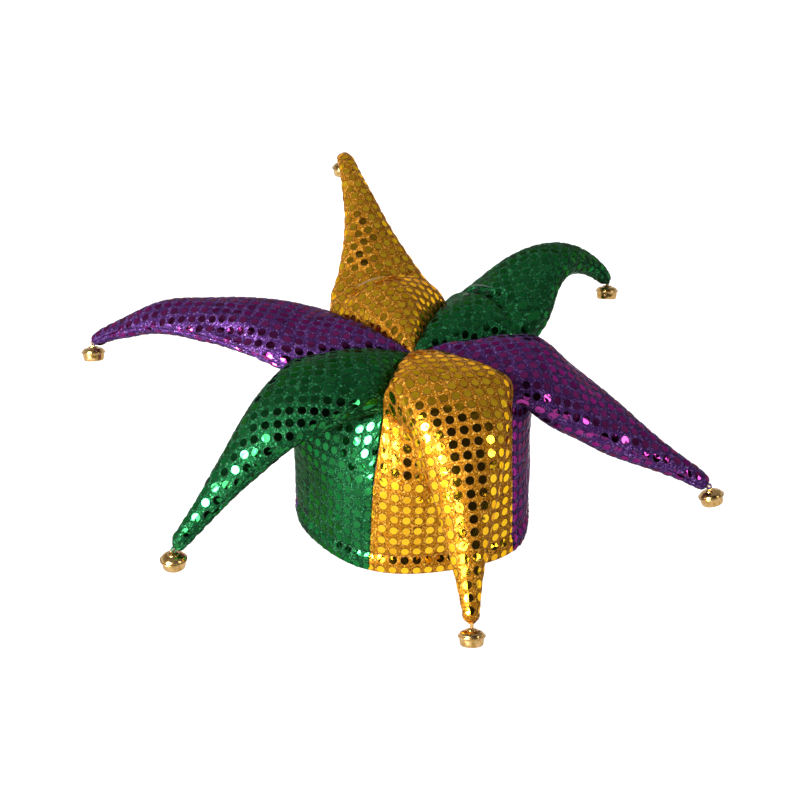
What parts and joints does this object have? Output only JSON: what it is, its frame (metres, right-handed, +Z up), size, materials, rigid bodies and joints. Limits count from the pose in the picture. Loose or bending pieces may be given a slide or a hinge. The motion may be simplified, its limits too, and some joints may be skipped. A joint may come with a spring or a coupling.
{
  "type": "jester hat",
  "caption": "Soft round jester hat in gold, green and purple sequin cloth, with curved tapering points that each end in a brass jingle bell.",
  "frame": {"origin": "under the middle of the whole outline, on the surface that the hem stands on", "axes": "+Z up from the hem to the crown, -Y towards the gold point that hangs in front, +X to its right as seen from the front"},
  "size_m": [0.5294, 0.4598, 0.233],
  "materials": {
    "gold_sequin_cloth": "metallic foil knit with flat sequins",
    "green_sequin_cloth": "metallic foil knit with flat sequins",
    "purple_sequin_cloth": "metallic foil knit with flat sequins",
    "brass": "polished brass-gold plating"
  },
  "bodies": {
    "root": {"upper_gold_front": "gold_sequin_cloth", "lower_gold_front": "gold_sequin_cloth", "bell_cap_gold_front": "brass", "bell_bowl_gold_front": "brass", "upper_purple_right": "purple_sequin_cloth", "lower_purple_right": "purple_sequin_cloth", "bell_cap_purple_right": "brass", "bell_bowl_purple_right": "brass", "upper_green_back_right": "green_sequin_cloth", "lower_green_back_right": "green_sequin_cloth", "bell_cap_green_back_right": "brass", "bell_bowl_green_back_right": "brass", "upper_gold_back": "gold_sequin_cloth", "lower_gold_back": "gold_sequin_cloth", "bell_cap_gold_back": "brass", "bell_bowl_gold_back": "brass", "upper_purple_back_left": "purple_sequin_cloth", "lower_purple_back_left": "purple_sequin_cloth", "bell_cap_purple_back_left": "brass", "bell_bowl_purple_back_left": "brass", "upper_green_front_left": "green_sequin_cloth", "lower_green_front_left": "green_sequin_cloth", "bell_cap_green_front_left": "brass", "bell_bowl_green_front_left": "brass"}
  },
  "joints": []
}
